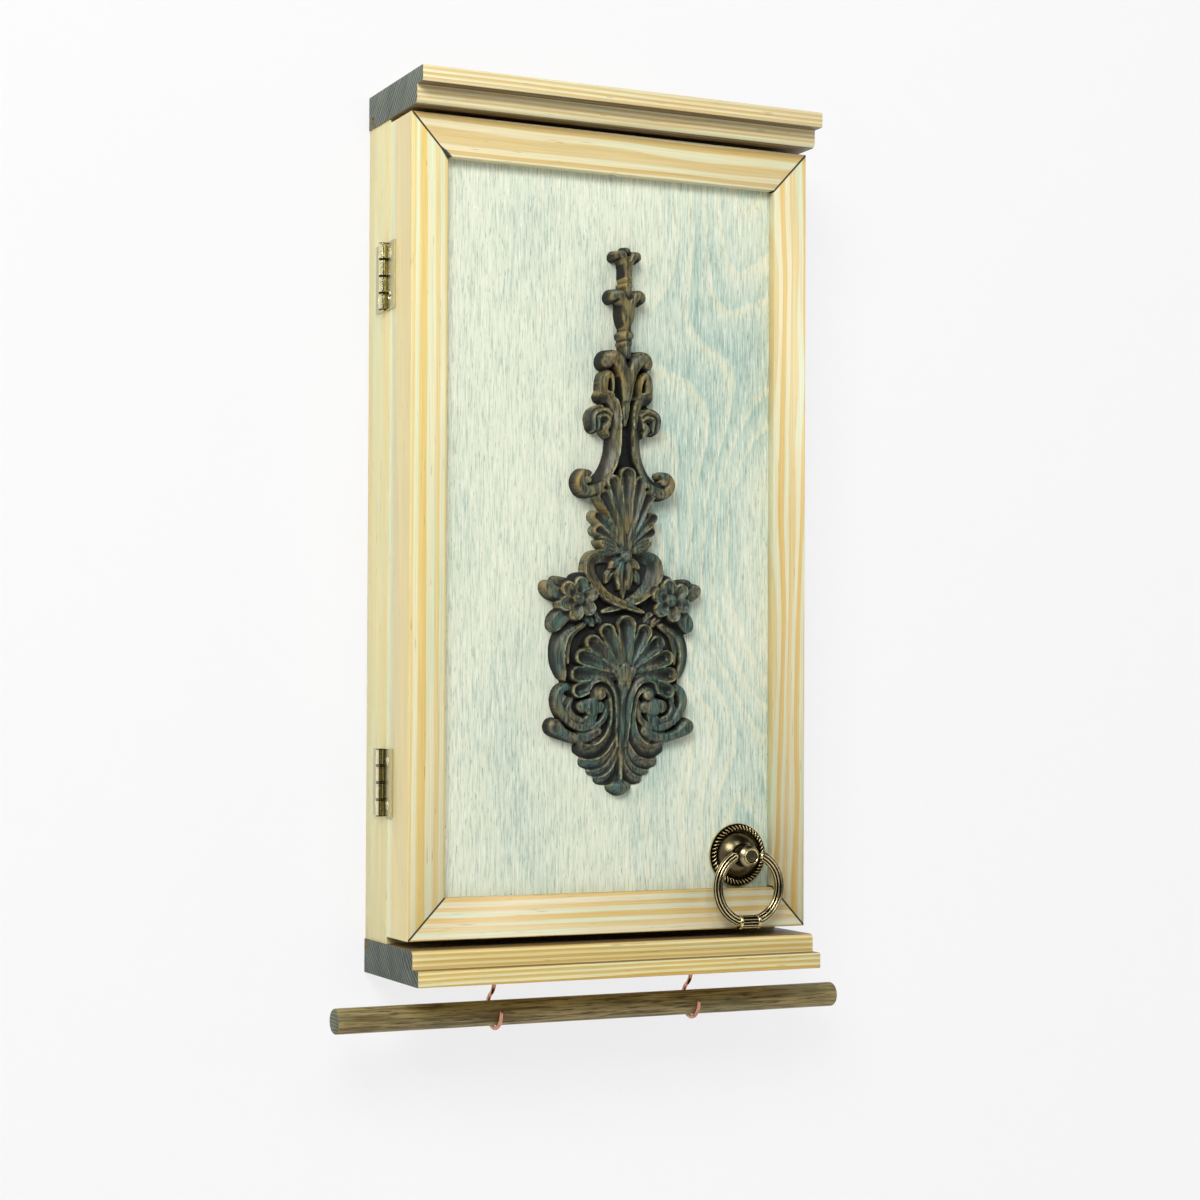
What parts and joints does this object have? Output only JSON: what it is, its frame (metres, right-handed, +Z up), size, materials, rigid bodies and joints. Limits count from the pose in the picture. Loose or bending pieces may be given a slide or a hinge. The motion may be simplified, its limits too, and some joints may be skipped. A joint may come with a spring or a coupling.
{
  "type": "jewelry cabinet",
  "caption": "Shallow wall-hung cabinet for jewellery: moulded crown and base, mitred door with carved ornament and ring pull, and a dowel resting in open hooks underneath.",
  "frame": {"origin": "middle of the crown board's back face, half way up the board's edge, on the wall plane", "axes": "+Y into the wall, +Z up, +X to the right for a viewer in front of the door"},
  "size_m": [0.266, 0.072, 0.4462],
  "materials": {
    "pine": "thin wax with a greenish cast",
    "ply": "pale wash over fine grain",
    "inner_dowel": "bare, sanded",
    "stained_dowel": "olive brown stain",
    "carving": "dark stain rubbed back on the high spots",
    "antique_bronze": "antique bronze, worn bright on the edges",
    "hinge_brass": "plated, satin",
    "copper_wire": "copper plated",
    "zinc_steel": "zinc plated",
    "felt": "matt felt"
  },
  "bodies": {
    "case": {"crown_board": "pine", "base_board": "pine", "side_board_left": "pine", "side_board_right": "pine", "back_panel": "ply", "crown_screws": "zinc_steel", "base_screws": "zinc_steel", "peg_rail": "pine", "necklace_pegs": "pine", "earring_bar_upper": "inner_dowel", "earring_bar_lower": "inner_dowel", "tray_lip": "pine", "catch_magnet": "zinc_steel", "door_bumpers": "felt", "hinge_case_leaf_upper": "hinge_brass", "hinge_case_leaf_lower": "hinge_brass", "hinge_pin_upper": "hinge_brass", "hinge_pin_lower": "hinge_brass", "hinge_case_screws": "hinge_brass", "rod_hook_left": "copper_wire", "rod_hook_right": "copper_wire"},
    "door": {"door_stile_left": "pine", "door_stile_right": "pine", "door_rail_top": "pine", "door_rail_bottom": "pine", "door_panel": "ply", "ornament": "carving", "hinge_door_leaf_upper": "hinge_brass", "hinge_door_leaf_lower": "hinge_brass", "hinge_door_screws": "hinge_brass", "strike_plate": "zinc_steel", "strike_screw": "zinc_steel", "pull_rose": "antique_bronze", "pull_boss": "antique_bronze", "pull_washer": "zinc_steel", "pull_screw": "zinc_steel"},
    "ring": {"pull_ring": "antique_bronze"},
    "rod": {"hanging_rod": "stained_dowel"}
  },
  "joints": [
    {"name": "door_swing", "type": "hinge", "parent": "case", "child": "door", "pos_m": [-0.1066, -0.0245, -0.20125], "axis": [0, 0, -1], "range_deg": [0, 140]},
    {"name": "ring_swing", "type": "hinge", "parent": "door", "child": "ring", "pos_m": [0.0693, -0.064, -0.357], "axis": [-1, 0, 0], "range_deg": [-4, 170]},
    {"name": "rod_slide", "type": "slide", "parent": "case", "child": "rod", "axis": [1, 0, 0], "range_m": [-0.075, 0.075]}
  ]
}
